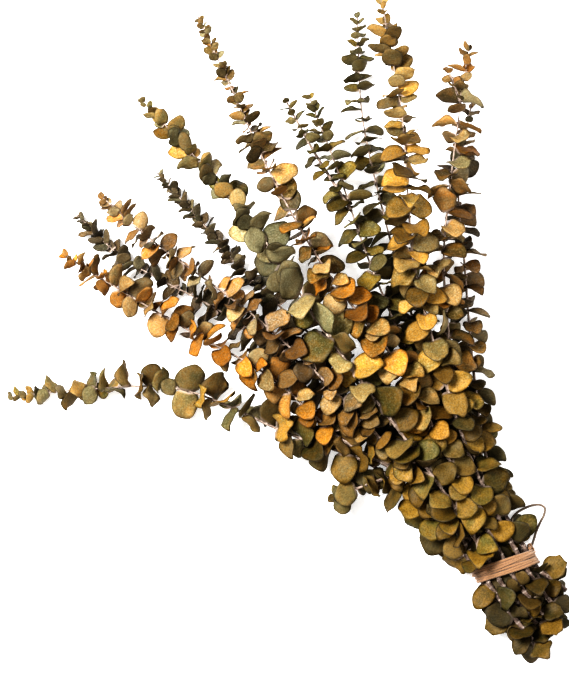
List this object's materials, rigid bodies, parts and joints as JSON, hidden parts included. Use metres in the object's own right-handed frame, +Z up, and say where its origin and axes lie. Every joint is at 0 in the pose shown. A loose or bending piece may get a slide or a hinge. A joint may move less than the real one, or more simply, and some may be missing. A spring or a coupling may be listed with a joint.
{
  "type": "bunch of dried eucalyptus",
  "caption": "Bunch of dried eucalyptus lying on its side: fanned leafy stems with small round leaves, bound near their cut ends by a wound jute twine tie with a free loop.",
  "frame": {"origin": "the middle of the flat under the tie, on the surface that the bunch lies on", "axes": "+Y along the bound stems from their cut ends towards the tips, +Z up from the surface, +X across the fan"},
  "size_m": [0.4358, 0.5472, 0.0945],
  "materials": {
    "golden_olive_foliage": "dried, matt with a faint waxy sheen, golden olive leaves on a pale brown woody stem",
    "orange_foliage": "dried, matt with a faint waxy sheen, orange to olive leaves on a pale brown woody stem",
    "umber_foliage": "dried, matt, dark grey brown leaves on a pale brown woody stem",
    "pinkish_brown_foliage": "dried, matt, pinkish brown leaves on a pale brown woody stem",
    "olive_foliage": "dried, matt with a faint waxy sheen, olive leaves on a pale brown woody stem",
    "tan_foliage": "dried, matt with a faint waxy sheen, tan gold leaves on a pale brown woody stem",
    "jute_twine": "twisted jute fibre, matt and hairy"
  },
  "bodies": {
    "root": {"leafy_stem_01": "golden_olive_foliage", "leafy_stem_02": "orange_foliage", "leafy_stem_03": "umber_foliage", "leafy_stem_04": "pinkish_brown_foliage", "leafy_stem_05": "umber_foliage", "leafy_stem_06": "golden_olive_foliage", "leafy_stem_07": "orange_foliage", "leafy_stem_08": "olive_foliage", "leafy_stem_09": "olive_foliage", "leafy_stem_10": "tan_foliage", "leafy_stem_11": "orange_foliage", "leafy_stem_12": "pinkish_brown_foliage", "twine_tie": "jute_twine", "twine_loop": "jute_twine"}
  },
  "joints": []
}
